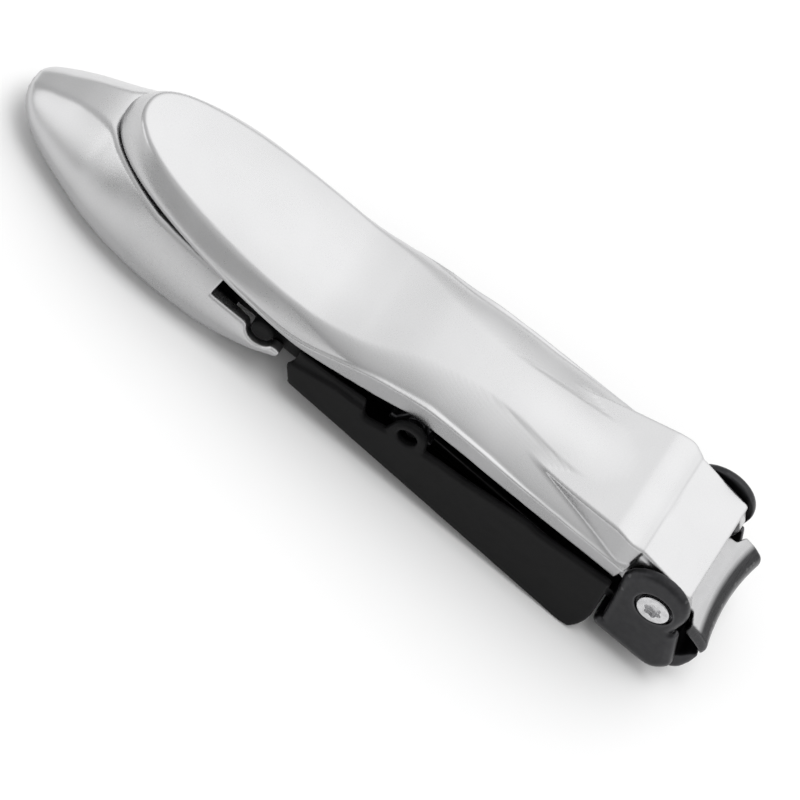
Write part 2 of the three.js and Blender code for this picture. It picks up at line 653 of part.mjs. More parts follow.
const clipper = new THREE.Group();
clipper.add(piece('lever', lever(), PEARL));
clipper.add(piece('lever_cam_pin', leverCamPin(), BRIGHT_STEEL));
clipper.add(piece('jaw_yoke', jawYoke(), BLACK_STEEL));
clipper.add(piece('pivot_screw_near', pivotScrew(-1), BRIGHT_STEEL));
clipper.add(piece('pivot_screw_far', pivotScrew(1), BRIGHT_STEEL));
clipper.add(piece('yoke_rivet_near', yokeRivet(-YOKE_RIVET.y), BRIGHT_STEEL));
clipper.add(piece('yoke_rivet_far', yokeRivet(YOKE_RIVET.y), BRIGHT_STEEL));
clipper.add(piece('upper_jaw', upperJaw(), BLACK_STEEL));
clipper.add(piece('lower_jaw', lowerJaw(), BLACK_STEEL));
for (const [place, x] of Object.entries(ARM_RIVETS_X)) {
  clipper.add(piece(`arm_rivet_${place}`, armRivet(x), BRIGHT_STEEL));
}
clipper.add(piece('tail_shell', tailShell(), PEARL));
clipper.add(piece('tail_anchor', tailAnchor(), BLACK_PLASTIC));
clipper.add(piece('anchor_screw_near', anchorScrew(-ANCHOR_SCREW.y), BRIGHT_STEEL));
clipper.add(piece('anchor_screw_far', anchorScrew(ANCHOR_SCREW.y), BRIGHT_STEEL));
clipper.add(piece('catcher', catcher(), BLACK_PLASTIC));
clipper.add(piece('catcher_hinge_pin_near', hingePin(-1), BRIGHT_STEEL));
clipper.add(piece('catcher_hinge_pin_far', hingePin(1), BRIGHT_STEEL));
clipper.add(piece('catch_bracket', catchBracket(), BLACK_STEEL));
clipper.add(piece('bracket_rivet', bracketRivet(), BRIGHT_STEEL));

clipper.rotation.y = LIE_ANGLE;
clipper.position.z = FRONT_REST_X * Math.sin(LIE_ANGLE);

const group = new THREE.Group();
group.add(clipper);
export default group;
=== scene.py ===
"""Lever nail clipper: the visible skin of every piece, its finishes, the studio and the camera.

The pieces are drawn in millimetres square to the yoke, +X towards the cutting edges, as a signed
field that is negative inside the metal. DRAWING then leans them and turns them into metres.
"""

import json
import math

import bpy
import numpy as np
from mathutils import Matrix, Vector


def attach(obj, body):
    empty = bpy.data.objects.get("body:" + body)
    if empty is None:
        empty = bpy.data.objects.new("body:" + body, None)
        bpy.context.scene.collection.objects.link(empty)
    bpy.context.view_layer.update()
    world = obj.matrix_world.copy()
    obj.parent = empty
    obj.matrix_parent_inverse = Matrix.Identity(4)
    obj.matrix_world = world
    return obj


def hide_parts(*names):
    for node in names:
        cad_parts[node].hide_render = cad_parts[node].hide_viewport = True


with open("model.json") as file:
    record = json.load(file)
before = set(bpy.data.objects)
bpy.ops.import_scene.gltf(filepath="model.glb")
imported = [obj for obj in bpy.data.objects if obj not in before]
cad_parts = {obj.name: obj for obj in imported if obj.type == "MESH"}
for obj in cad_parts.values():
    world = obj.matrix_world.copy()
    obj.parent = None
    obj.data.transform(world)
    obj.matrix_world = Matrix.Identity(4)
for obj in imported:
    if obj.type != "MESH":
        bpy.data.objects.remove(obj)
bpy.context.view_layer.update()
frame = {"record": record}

# --- driving dimensions, in millimetres ----------------------------------------------------------

MM = 0.001
FRONT_REST_X = 34.0                     # front edge of the catcher, on the floor
BELLY_X, BELLY_DROP = -24.0, 2.0        # lowest part of the tail
SLOPE = BELLY_DROP / (FRONT_REST_X - BELLY_X)
LIE_ANGLE = math.atan(SLOPE)
DRAWING = (
    Matrix.Translation((0, 0, FRONT_REST_X * MM * math.sin(LIE_ANGLE)))
    @ Matrix.Rotation(LIE_ANGLE, 4, "Y")
    @ Matrix.Scale(MM, 4)
)

PIVOT = (39.25, 12.1)                   # lever pivot, x and z
CAM = (34.25, 12.5)                     # cam pin, x and z
CAM_RADIUS = 1.0
NOSE_HALF_WIDTH = 7.45
CHEEK_INNER = 5.9
CHEEK_RADIUS = 3.3
EAR_OUTER, EAR_THICKNESS = 9.0, 1.2
EAR_DOME = (38.5, 12.8)                 # rounded top of the ears, x and z
EAR_DOME_RADIUS = 4.3
YOKE_BOTTOM_Z = 2.0
HEAD_RADIUS, SHANK_RADIUS = 1.95, 1.2
ARM_THICKNESS = 1.4
ARM_REAR_X = -22.5
LOWER_ARM = (5.0, 42.5, 3.5)            # underside at the rear, front end, underside there
UPPER_ARM = (6.7, 41.0, 10.3)
JAW_HALF_WIDTH, JAW_SAGITTA = 6.9, 0.85  # the cutting edges are hollowed by the sagitta
RIVET_RADIUS, RIVET_HEAD_RADIUS, RIVET_HEAD_HEIGHT = 1.1, 1.9, 0.68
YOKE_RIVET = (39.5, 3.2)                # x and distance from the middle
ANCHOR_SCREW = (-25.5, 3.0)
HINGE = (-12.0, 5.7)                    # catcher hinge, x and z
SNAP = (7.2, 8.2)                       # snap ring and pip, x and z
BRACKET_REAR_X, BRACKET_THICKNESS, BRACKET_GAP = 4.4, 0.9, 0.3
REST_GAP = 0.2                          # under a rivet head
TILT_GAP = 0.35                         # under a rivet head that the upper arm tilts beneath
CATCHER_OUTER, CATCHER_WALL, CATCHER_FLOOR = 9.6, 0.85, 1.1


def rest_z(x):
    """Height of the floor under the square drawing."""
    return (x - FRONT_REST_X) * SLOPE


# --- fields --------------------------------------------------------------------------------------

def curve(x, points):
    """Smooth curve through (x, value) points, level beyond both ends."""
    px, py = np.array(points, float).T
    slope = np.zeros(len(px))
    slope[1:-1] = (py[2:] - py[:-2]) / (px[2:] - px[:-2])
    x = np.clip(x, px[0], px[-1])
    i = np.clip(np.searchsorted(px, x, side="right") - 1, 0, len(px) - 2)
    width = px[i + 1] - px[i]
    t = (x - px[i]) / width
    return (
        (2 * t**3 - 3 * t**2 + 1) * py[i]
        + (t**3 - 2 * t**2 + t) * width * slope[i]
        + (3 * t**2 - 2 * t**3) * py[i + 1]
        + (t**3 - t**2) * width * slope[i + 1]
    )


def both(radius, *fields):
    """What all the fields share, its edges rounded by radius."""
    whole = fields[0]
    for field in fields[1:]:
        corner = np.hypot(np.maximum(whole + radius, 0), np.maximum(field + radius, 0))
        whole = np.minimum(-radius, np.maximum(whole, field)) + corner
    return whole


def either(radius, *fields):
    """The fields joined, with a fillet of radius in the corner between them."""
    return -both(radius, *(-field for field in fields))


def cut(radius, body, *tools):
    """The body less the tools, its new edges rounded by radius."""
    return both(radius, body, *(-tool for tool in tools))


def polygon(u, v, points):
    """Signed distance from a closed outline, negative inside."""
    shape = np.broadcast(u, v).shape
    nearest = np.full(shape, np.inf)
    inside = np.zeros(shape, bool)
    for (u0, v0), (u1, v1) in zip(points, points[1:] + points[:1]):
        du, dv = u1 - u0, v1 - v0
        along = np.clip(((u - u0) * du + (v - v0) * dv) / (du * du + dv * dv), 0, 1)
        nearest = np.minimum(nearest, (u - u0 - du * along) ** 2 + (v - v0 - dv * along) ** 2)
        if dv:
            inside ^= ((v0 <= v) != (v1 <= v)) & (u < u0 + (v - v0) * du / dv)
    return np.where(inside, -1, 1) * np.sqrt(nearest)


def rounded(points, radius, steps=5):
    """The outline with each corner turned into a short curve."""
    smooth = []
    for i, corner in enumerate(points):
        here = np.array(corner, float)
        before = np.array(points[i - 1], float) - here
        after = np.array(points[(i + 1) % len(points)], float) - here
        reach = min(radius, 0.45 * np.linalg.norm(before), 0.45 * np.linalg.norm(after))
        start = here + before / np.linalg.norm(before) * reach
        end = here + after / np.linalg.norm(after) * reach
        for t in np.linspace(0, 1, steps):
            point = (1 - t) ** 2 * start + 2 * t * (1 - t) * here + t * t * end
            smooth.append(tuple(point))
    return smooth


def arc(centre, radius, start, end, steps=24):
    """Points along part of a circle, angles in degrees."""
    turns = np.radians(np.linspace(start, end, steps))
    return [(centre[0] + radius * math.cos(a), centre[1] + radius * math.sin(a)) for a in turns]


def slab(value, low, high):
    """Signed distance from the layer between low and high."""
    return np.maximum(low - value, value - high)


def block(x, y, z, xs, ys, zs, radius=0.0):
    return both(radius, slab(x, *xs), slab(y, *ys), slab(z, *zs))


def disc(x, z, centre, radius):
    """Distance from a round bar that runs across the clipper."""
    return np.hypot(x - centre[0], z - centre[1]) - radius


def facet(x, y, z, a, b, c, inner):
    """Distance from the plane through three points, negative on the inner point's side."""
    a, b, c, inner = (np.array(p, float) for p in (a, b, c, inner))
    normal = np.cross(b - a, c - a)
    normal /= np.linalg.norm(normal)
    if normal @ (inner - a) > 0:
        normal = -normal
    return normal[0] * (x - a[0]) + normal[1] * (y - a[1]) + normal[2] * (z - a[2])


# --- lever ---------------------------------------------------------------------------------------

PAD_REAR_X, PAD_OVAL_X, LEVER_FRONT_X = -38.2, -12.0, 34.0
LEVER_WALL, HOLLOW_FRONT_X = 1.7, 29.0
PAD_REACH = PAD_OVAL_X - PAD_REAR_X
PAD_POWER = 2.3
PAD_REAR_BEVEL = 0.9
RIM_STEP = [(-24, 0.02), (-8, 0.3)]     # the rim band fades into the pad's flank
RIM_HALF_WIDTH = [(-12, 9.25), (-5, 9.15), (0, 8.8), (4, 8.55), (9, 8.55), (20, 8.8), (34, 8.9)]
RIM_Z = [(-38, 8.7), (-27, 8.7), (-18, 8.1), (-9, 7.6), (-4, 8.3), (2, 9.3), (7, 10.6),
         (20, 11.3), (34, 11.8)]
RIM_HEIGHT = [(-12, 0.7), (0, 2.9), (6, 2.7), (34, 2.1)]
TOP_HALF_WIDTH = [(-12, 7.6), (-4, 7.7), (3, 6.9), (14, 6.0), (34, 6.2)]
TOP_Z = [(-38, 12.0), (-30, 11.6), (-10, 11.3), (-4, 12.2), (3, 13.8), (10, 14.8), (20, 15.1),
         (34, 15.6)]
CROWN = [(-38, 0.3), (-20, 0.8), (-5, 0.6), (8, 0.6), (16, 1.1), (26, 1.2)]
FLANK_POWER = [(-14, 1.25), (0, 1.5), (34, 1.3)]  # 1 is a flat flank, more bulges
EDGE_RADIUS = [(-14, 0.35), (-4, 1.2), (4, 2.4), (14, 1.6), (21, 0.7)]


def pad_outline(x, across, reach, half):
    """Distance in plan from the lever's outline: an oval at the rear, a strip in front."""
    back = np.clip(PAD_OVAL_X - x, 0, None) / reach
    side = across / half
    total = back**PAD_POWER + side**PAD_POWER + 1e-9
    steep = total ** (1 / PAD_POWER - 1)
    slope = np.hypot(back ** (PAD_POWER - 1) / reach, side ** (PAD_POWER - 1) / half) * steep
    return (total ** (1 / PAD_POWER) - 1) / (slope + 1e-6)


def lever_body(x, y, z, inset=0.0):
    across = np.abs(y)
    rim_half, top_half = curve(x, RIM_HALF_WIDTH) - inset, curve(x, TOP_HALF_WIDTH) - inset
    rim_z, top_z = curve(x, RIM_Z), curve(x, TOP_Z) - inset
    rim_top = rim_z + curve(x, RIM_HEIGHT)
    share = np.clip((z - rim_top) / (top_z - rim_top), 0, 1.4) ** curve(x, FLANK_POWER)
    step = curve(x, RIM_STEP)
    half = rim_half - step - (rim_half - step - top_half) * share
    reach = PAD_REACH - inset - step - (PAD_REAR_BEVEL - step) * share
    roof = top_z + curve(x, CROWN) * (1 - (across / top_half) ** 2)
    upper = both(curve(x, EDGE_RADIUS), pad_outline(x, across, reach, half), z - roof)
    if inset:
        return upper
    rim = both(0.2, pad_outline(x, across, PAD_REACH, rim_half), z - rim_top)
    return np.maximum(both(0.25, either(0.15, upper, rim), rim_z - z), x - LEVER_FRONT_X)


def lever_wedge(x, y, z):
    """The raised block in front of the thumb pad, a wedge facet on each side."""
    across = np.abs(y)
    ridge, brow = (32.1, 8.0, 18.0), (LEVER_FRONT_X, 7.5, 17.0)
    point, root = (21.6, 6.5, 15.6), (21.6, 6.2, 12.4)
    heel, toe = (31.0, 8.45, 13.4), (LEVER_FRONT_X, 8.5, 12.6)
    inner = (28.0, 0.0, 14.0)

    def mirrored(corner):
        return (corner[0], -corner[1], corner[2])

    planes = [
        (point, ridge, mirrored(ridge)), (ridge, brow, mirrored(brow)),
        (point, ridge, heel), (ridge, brow, toe), (point, root, heel),
    ]
    top, front, *sides = (facet(x, across, z, *corners, inner) for corners in planes)
    return both(0.35, both(1.6, top, front), *sides, x - LEVER_FRONT_X, toe[2] - z)


def lever_nose(x, y, z):
    """The sloping top plate between the yoke's ears, and a cheek down each side."""
    across = np.abs(y)
    plate = [(31, 17.2), (34.1, 17.0), (41.4, 15.6), (41.4, 14.9), (38, 14.9), (31, 15.2)]
    cheek = [(30.5, 16.4), (30.5, 11.6), (34.3, 10.9), (PIVOT[0] - 2.6, PIVOT[1] - 2.05)]
    cheek += arc(PIVOT, CHEEK_RADIUS, 218, 380) + [(41.2, 15.2)]
    plan = both(0.6, across - NOSE_HALF_WIDTH, x - 41.45)
    top = both(0.3, polygon(x, z, plate), plan)
    sides = both(0.2, polygon(x, z, cheek), slab(across, CHEEK_INNER, NOSE_HALF_WIDTH))
    return either(0.4, top, sides)


def lever(x, y, z):
    across = np.abs(y)
    tunnel = [(20, 4), (43, 4), (43, 13.9), (37, 14.1), (33, 14.6), (20, 13.4)]
    body = either(0.5, lever_body(x, y, z), lever_wedge(x, y, z))
    ear_sweep = both(0, disc(x, z, PIVOT, 5.55), NOSE_HALF_WIDTH - across)
    body = either(0.2, cut(0.2, body, ear_sweep), lever_nose(x, y, z))
    hollow = both(0.6, lever_body(x, y, z, inset=LEVER_WALL), x - HOLLOW_FRONT_X)
    hollow = np.minimum(hollow, both(0.3, polygon(x, z, tunnel), across - CHEEK_INNER))
    return cut(0.15, body, hollow, disc(x, z, PIVOT, SHANK_RADIUS + 0.15))


def cam_pin(x, y, z):
    return both(0.2, disc(x, z, CAM, CAM_RADIUS), np.abs(y) - 6.8)


# --- yoke, pivot screws and rivets ---------------------------------------------------------------

def jaw_yoke(x, y, z):
    """A strap bent into a U, with an ear on each side."""
    across = np.abs(y)
    ear = [(35.8, 4.3), (36.0, YOKE_BOTTOM_Z), (42.6, YOKE_BOTTOM_Z), (44.2, 2.8), (45.3, 4.3),
           (45.7, 5.5), (44.2, 9.0), (43.3, 10.9)]
    ear = rounded(ear, 0.7) + arc(EAR_DOME, EAR_DOME_RADIUS, 0, 180) + [(34.6, 11.4)]
    middle = EAR_OUTER - EAR_THICKNESS / 2
    bend = both(1.5, across - middle, YOKE_BOTTOM_Z + EAR_THICKNESS / 2 - z)
    outline = polygon(x, z, ear)
    strap = both(0.95, bend - EAR_THICKNESS / 2, outline)
    strap = both(0.2, strap, -EAR_THICKNESS / 2 - bend, outline)
    seat = both(0, disc(x, z, PIVOT, HEAD_RADIUS + 0.35), EAR_OUTER - 0.5 - across)
    return cut(0.12, strap, seat, disc(x, z, PIVOT, SHANK_RADIUS + 0.2))


def pivot_screw(side):
    """Button-head screw with a six-lobed socket."""
    def field(x, y, z):
        out = side * y
        radius = np.hypot(x - PIVOT[0], z - PIVOT[1])
        turn = np.arctan2(z - PIVOT[1], x - PIVOT[0])
        dome = EAR_OUTER + 0.25 - 0.11 * (radius / HEAD_RADIUS) ** 2
        head = both(0.12, radius - HEAD_RADIUS, out - dome, EAR_OUTER - 0.4 - out)
        shank = both(0.1, radius - SHANK_RADIUS, slab(out, 6.1, EAR_OUTER - 0.2))
        socket = both(0.05, radius - 0.95 - 0.14 * np.cos(6 * turn), EAR_OUTER - 0.32 - out)
        return cut(0.06, either(0.1, head, shank), socket)
    return field


def turned(centre, profile, radius=0.15):
    """A round piece about an upright line, from a profile of radius and height."""
    outline = rounded(profile, radius)

    def field(x, y, z):
        return polygon(np.hypot(x - centre[0], y - centre[1]), z, outline)
    return field


def arm_z(arm, x):
    rear_z, front_x, front_z = arm
    return rear_z + (x - ARM_REAR_X) * (front_z - rear_z) / (front_x - ARM_REAR_X)


def headed(centre, bottom, shoulder, shank=RIVET_RADIUS - 0.15):
    """A rivet: a plain shank from bottom up to a low domed head on shoulder."""
    head = RIVET_HEAD_RADIUS
    return turned(centre, [
        (-head, bottom), (shank, bottom), (shank, shoulder), (head - 0.1, shoulder),
        (head - 0.15, shoulder + 0.25), (head - 0.6, shoulder + 0.55),
        (0, shoulder + RIVET_HEAD_HEIGHT), (-head, shoulder + RIVET_HEAD_HEIGHT),
    ], 0.12)


# --- spring arms and jaws ------------------------------------------------------------------------

def arm_strip(x, y, z, arm):
    under = arm_z(arm, x)
    half = curve(x, [(-9.0, 4.6), (-7.0, 5.5)])
    plan = both(0.4, np.abs(y) - half, ARM_REAR_X - x, x - arm[1] - 0.6)
    return both(0.2, slab(z, under, under + ARM_THICKNESS), plan)


def jaw_head(x, y, z, outline, rear_x):
    """A jaw whose front edge is hollowed towards the middle, seen from above."""
    across = np.abs(y)
    follow = np.clip((x - 42.4) / 3.6, 0, 1) * JAW_SAGITTA * (1 - (across / JAW_HALF_WIDTH) ** 2)
    profile = polygon(x + follow, z, rounded(outline, 0.5))
    shoulder = curve(x, [(43.0, 5.5), (44.0, JAW_HALF_WIDTH)])
    return both(0.3, profile, across - shoulder, rear_x - x)


def upper_jaw(x, y, z):
    root = arm_z(UPPER_ARM, 40.4)
    head = jaw_head(x, y, z, [
        (39.8, root), (43.2, 10.1), (44.9, 9.4), (46.3, 8.9), (47.15, 8.2), (47.2, 9.6),
        (46.7, 10.7), (45.4, 11.4), (43.6, 11.8), (39.8, root + ARM_THICKNESS),
    ], 40.0)
    jaw = either(0.3, arm_strip(x, y, z, UPPER_ARM), head)
    holes = [np.hypot(x - hole, y) - RIVET_RADIUS - 0.3 for hole in (-14, -20)]
    return cut(0.1, jaw, *holes)


def lower_jaw(x, y, z):
    root = arm_z(LOWER_ARM, 41.9)
    head = jaw_head(x, y, z, [
        (41.3, root), (44.6, 2.8), (46.2, 2.9), (46.9, 4.0), (47.2, 6.0), (47.15, 7.9),
        (46.4, 7.3), (45.7, 5.8), (44.7, 4.9), (41.3, root + ARM_THICKNESS),
    ], 41.5)
    return either(0.3, arm_strip(x, y, z, LOWER_ARM), head)


# --- tail ----------------------------------------------------------------------------------------

TAIL_TIP_X, TAIL_FRONT_X, TAIL_WALL = -47.6, -9.0, 1.5
TAIL_HALF_WIDTH_SQUARED = [(x, w * abs(w)) for x, w in [
    (-49.2, -3.0), (-47.72, 0.0), (-46.6, 2.85), (-45, 4.3), (-42, 5.95), (-38, 7.6),
    (-34.8, 8.8), (-31, 9.7), (-27, 10.25), (-22, 10.4), (-16, 10.2), (-9, 9.85),
]]
DECK_HALF_WIDTH = [(-47.6, 1.1), (-42, 1.8), (-38.6, 2.75), (-36.5, 4.4), (-34, 5.9), (-31, 7.3),
                   (-27, 8.5), (-22, 9.3), (-9, 9.6)]
DECK_Z = [(-48.6, 1.2), (-47.6, 2.7), (-46.4, 3.9), (-45, 4.95), (-42, 6.9), (-38.6, 8.2),
          (-36, 8.3), (-27, 8.2), (-18, 7.7), (-9, 7.2)]
KEEL_Z = [(-47.6, 1.6), (-46.6, 0.6), (-45, -0.2), (-42, -1.0), (-38, -1.6), (-34, -2.0),
          (-30, rest_z(-30)), (-19, rest_z(-19)), (-17, -1.55), (-14.5, -0.7), (-12.2, 0.5),
          (-10.2, 1.9), (-9, 3.1)]
GIRTH_Z = [(-47.6, 2.1), (-45, 1.4), (-38, 1.6), (-31, 2.0), (-20, 2.2), (-12, 3.6), (-9, 5.0)]
HULL_POWER = 2 / 0.7


def tail_hull(x, y, z):
    across = np.abs(y)
    half = np.sqrt(np.maximum(curve(x, TAIL_HALF_WIDTH_SQUARED), 0.01))
    deck_half = np.minimum(curve(x, DECK_HALF_WIDTH), 0.8 * half)
    deck_z, girth_z = curve(x, DECK_Z), curve(x, GIRTH_Z)
    keel_z = np.maximum(curve(x, KEEL_Z), rest_z(x))
    below = np.clip((girth_z - z) / (girth_z - keel_z), 0, None)
    above = np.clip((z - girth_z) / (deck_z - girth_z), 0, 1.3)
    low_side = ((across / half) ** HULL_POWER + below**HULL_POWER) ** (1 / HULL_POWER) - 1
    high_side = (across - half + (half - deck_half) * above**1.6) / half
    side = np.where(z < girth_z, low_side, high_side) * np.maximum(half, 1.5)
    side = both(0.4, side, z - deck_z)
    return both(0.3, side, x - TAIL_FRONT_X, TAIL_TIP_X - x)


def tail_shell(x, y, z):
    across = np.abs(y)
    inner_half = np.minimum(curve(x, DECK_HALF_WIDTH) - TAIL_WALL + 0.1, 8.2)
    floor_z = np.maximum(curve(x, KEEL_Z), rest_z(x)) + TAIL_WALL
    hollow = both(1.8, across - inner_half, floor_z - z, -36 - x)
    mouth = both(0.3, across - 8.2, -15 - x)
    slot = both(0.2, slab(across, 7, 12), -18.8 - x, 5.3 - z)
    boss_room = both(0, disc(x, z, (HINGE[0], HINGE[1] + 0.2), 1.85), 7 - across)
    holes = np.hypot(x - ANCHOR_SCREW[0], across - ANCHOR_SCREW[1]) - 1.0
    return cut(0.2, tail_hull(x, y, z), hollow, mouth, either(0.3, slot, boss_room), holes)


def tail_anchor(x, y, z):
    """Block in the tail that grips both spring arms and carries the hinge pins."""
    across = np.abs(y)
    foot = block(x, across, z, (-27, -17.8), (-9, 4.8), (0.1, 3.9), 0.3)
    deck = block(x, across, z, (-27, -10), (-9, 6.4), (3.1, 4.7), 0.3)
    cheek = block(x, across, z, (-23.5, -9.8), (4.9, 6.4), (4.0, 7.9), 0.3)
    return either(0.3, foot, deck, cheek)


# --- catcher -------------------------------------------------------------------------------------

def catcher_outline():
    ring = arc(SNAP, 2.2, 18, 180, 20)
    front = [(33.4, 0), (34.8, 0.25), (35.3, 1.6), (35.5, 3.0), (35.45, 4.3), (34.0, 11.35)]
    upper = [(24.6, 10.0), (23.2, 10.2), (14.5, 8.5), (10.1, 7.9)]
    rear = [(5.2, 6.8), (2.7, 5.8), (2.0, 6.4), (1.2, 8.2), (-3.5, 7.6), (-8.6, 7.2), (-8.6, 5.2)]
    return rounded([(-6.4, 1.95)] + front + upper, 0.35) + ring + rounded(rear, 0.35)


def catcher_lug(x, across, z):
    bar = [(-5.6, 7.2), (-5.6, 4.2)] + arc(HINGE, 1.5, 270, 90, 16)
    reach = both(0.15, polygon(x, z, bar), slab(across, 6.9, 8.0))
    boss = both(0.25, disc(x, z, HINGE, 1.4), slab(across, 7.8, 9.3))
    jog = block(x, across, z, (-7.0, -5.6), (6.9, CATCHER_OUTER - 0.4), (4.3, 7.1), 0.15)
    return either(0.1, reach, boss, jog)


def catcher(x, y, z):
    across = np.abs(y)
    inner = CATCHER_OUTER - CATCHER_WALL
    trough = [(-12, 1.95 + CATCHER_FLOOR + 0.27), (33.4, CATCHER_FLOOR), (39, CATCHER_FLOOR),
              (39, 18), (-12, 18)]
    shell = both(0.35, polygon(x, z, catcher_outline()), across - CATCHER_OUTER)
    shell = cut(0.15, shell, both(0.6, polygon(x, z, trough), across - inner))
    step = rounded([(-9.5, 5.4), (-6.6, 5.4), (-2.4, 6.8), (1.7, 7.1), (1.7, 9), (-9.5, 9)], 0.3)
    step = both(0.05, polygon(x, z, step), CATCHER_OUTER - 0.35 - across)
    sweep = both(0, disc(x, z, HINGE, 4.7), 8.2 - across)
    shell = cut(0.12, shell, step, sweep)
    shell = either(0.08, shell, catcher_lug(x, across, z))
    pin_hole = both(0, disc(x, z, HINGE, 0.9), across - 8.9)
    return cut(0.12, shell, disc(x, z, SNAP, 1.2), pin_hole)


def hinge_pin(side):
    def field(x, y, z):
        return both(0.15, disc(x, z, HINGE, 0.75), slab(side * y, 5.1, 8.7))
    return field


def catch_bracket(x, y, z):
    """Saddle on the lower arm whose pips hold the catcher's snap rings."""
    across = np.abs(y)
    top = arm_z(LOWER_ARM, BRACKET_REAR_X) + ARM_THICKNESS + BRACKET_GAP
    thick = (top, top + BRACKET_THICKNESS)
    base = block(x, across, z, (BRACKET_REAR_X, 10.0), (-9, 7.4), thick, 0.25)
    wing = [(4.6, top), (9.8, top), (8.9, SNAP[1] + 0.6)] + arc(SNAP, 1.7, 20, 160, 14)
    wing = both(0.25, polygon(x, z, wing), slab(across, 6.2, 7.4))
    pip = both(0.2, disc(x, z, SNAP, 1.0), slab(across, 7.2, 8.5))
    return either(0.15, base, wing, pip)


# --- meshes --------------------------------------------------------------------------------------

CORNERS = [(a, b, c) for a in (0, 1) for b in (0, 1) for c in (0, 1)]
CELL_EDGES = [
    (p, q) for i, p in enumerate(CORNERS) for q in CORNERS[i + 1:]
    if sum(abs(a - b) for a, b in zip(p, q)) == 1
]


def skin(values):
    """Vertices and quads of the surface where a grid of values changes sign."""
    inside = values < 0
    size = tuple(n - 1 for n in values.shape)
    filled = sum(
        inside[a:size[0] + a, b:size[1] + b, c:size[2] + c].astype(np.int8)
        for a, b, c in CORNERS
    )
    active = (filled > 0) & (filled < len(CORNERS))
    cells = np.argwhere(active)
    number = np.full(size, -1)
    number[active] = np.arange(len(cells))
    total, hits = np.zeros((len(cells), 3)), np.zeros((len(cells), 1))
    for start, end in CELL_EDGES:
        low = values[tuple((cells + start).T)]
        high = values[tuple((cells + end).T)]
        crossed = (low < 0) != (high < 0)
        share = np.where(crossed, low / np.where(crossed, low - high, 1), 0)[:, None]
        point = np.array(start) + share * (np.array(end) - start)
        total += point * crossed[:, None]
        hits += crossed[:, None]
    quads = []
    for axis in range(3):
        one, two = (axis + 1) % 3, (axis + 2) % 3
        ahead = np.roll(inside, -1, axis)
        changed = inside != ahead
        index = np.argwhere(changed)
        keep = (index[:, axis] < size[axis]) & (index[:, one] > 0) & (index[:, two] > 0)
        keep &= (index[:, one] < size[one]) & (index[:, two] < size[two])
        index = index[keep]
        around = []
        for step_one, step_two in ((0, 0), (-1, 0), (-1, -1), (0, -1)):
            cell = index.copy()
            cell[:, one] += step_one
            cell[:, two] += step_two
            around.append(number[tuple(cell.T)])
        quad = np.stack(around, 1)
        outward = inside[tuple(index.T)]
        quad[~outward] = quad[~outward][:, ::-1]
        quads.append(quad)
    return cells + total / hits, np.concatenate(quads)


def grid(box, pitch):
    """Sample positions of a box ((x0, x1), (y0, y1), (z0, z1)), one cell wider on each side."""
    axes = [np.arange(low - 1.5 * pitch, high + 2.5 * pitch, pitch) for low, high in box]
    return axes[0][:, None, None], axes[1][None, :, None], axes[2][None, None, :]


slot_of = {part["node"]: part["material_slot"] for part in frame["record"]["subparts"]}
body_of = {
    node: body for body, nodes in frame["record"]["behaviour"]["bodies"].items() for node in nodes
}


def make(node, field, box, pitch, finish):
    """The visible piece that stands for a CAD node."""
    x, y, z = grid(box, pitch)
    values = field(x, y, z) + 0 * (x + y + z)
    points, quads = skin(values)
    points = points * pitch + np.array([x.flat[0], y.flat[0], z.flat[0]])
    mesh = bpy.data.meshes.new(node + "_skin")
    mesh.vertices.add(len(points))
    mesh.vertices.foreach_set("co", points.astype(np.float32).ravel())
    mesh.loops.add(quads.size)
    mesh.loops.foreach_set("vertex_index", quads.astype(np.int32).ravel())
    mesh.polygons.add(len(quads))
    mesh.polygons.foreach_set("loop_start", np.arange(0, quads.size, 4, dtype=np.int32))
    mesh.polygons.foreach_set("loop_total", np.full(len(quads), 4, np.int32))
    mesh.update(calc_edges=True)
    mesh.validate()
    mesh.transform(DRAWING)
    mesh.shade_smooth()
    mesh.materials.append(finish)
    piece = bpy.data.objects.new(node + "_skin", mesh)
    bpy.context.scene.collection.objects.link(piece)
    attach(piece, body_of[node])
    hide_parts(node)
    return piece


# --- finishes ------------------------------------------------------------------------------------

